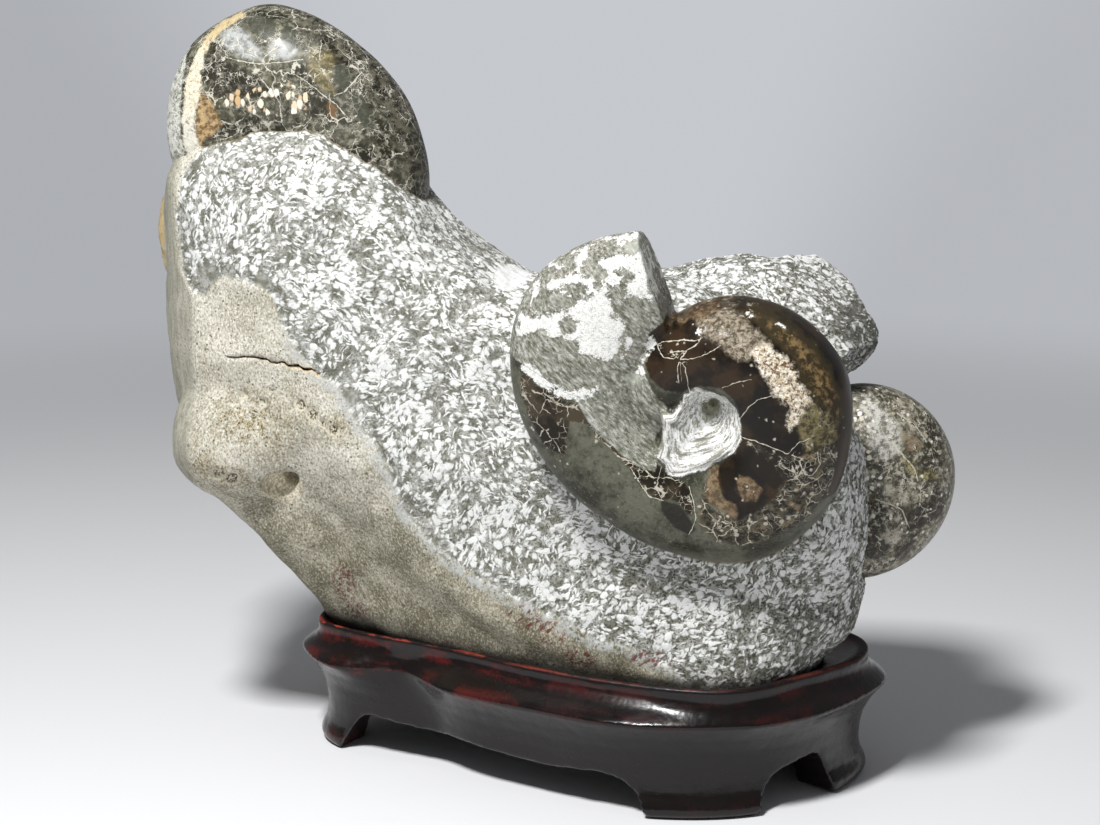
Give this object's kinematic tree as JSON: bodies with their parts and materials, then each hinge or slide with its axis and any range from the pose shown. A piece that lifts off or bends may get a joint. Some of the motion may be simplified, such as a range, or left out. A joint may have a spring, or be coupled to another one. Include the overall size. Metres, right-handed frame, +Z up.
{
  "type": "ammonite fossil on stand",
  "caption": "Block of chiselled grey concretion with coiled fossil shells standing out of it, resting in a carved, footed wooden stand.",
  "frame": {"origin": "centre of the whole object's box, on the ground under the stand's feet", "axes": "+X along the stand's long side to the right as seen from its front, +Y to the back, +Z up"},
  "size_m": [0.298, 0.1544, 0.2873],
  "materials": {
    "lacquered_wood": "satin gloss lacquer, near-black brown worn to dark red along the edges",
    "concretion": "matt, grey with pale chisel pecks; beige weathered rind on the lower left",
    "brown_shell": "glossy brown fossil shell with cream patches and fine pale cracks",
    "grey_shell": "glossy grey-brown fossil shell with a net of pale cracks",
    "olive_shell": "satin olive-grey fossil shell with pale flecks"
  },
  "bodies": {
    "root": {"stand": "lacquered_wood", "rock": "concretion", "front_ammonite": "brown_shell", "top_ammonite": "grey_shell", "right_ammonite": "olive_shell"}
  },
  "joints": []
}
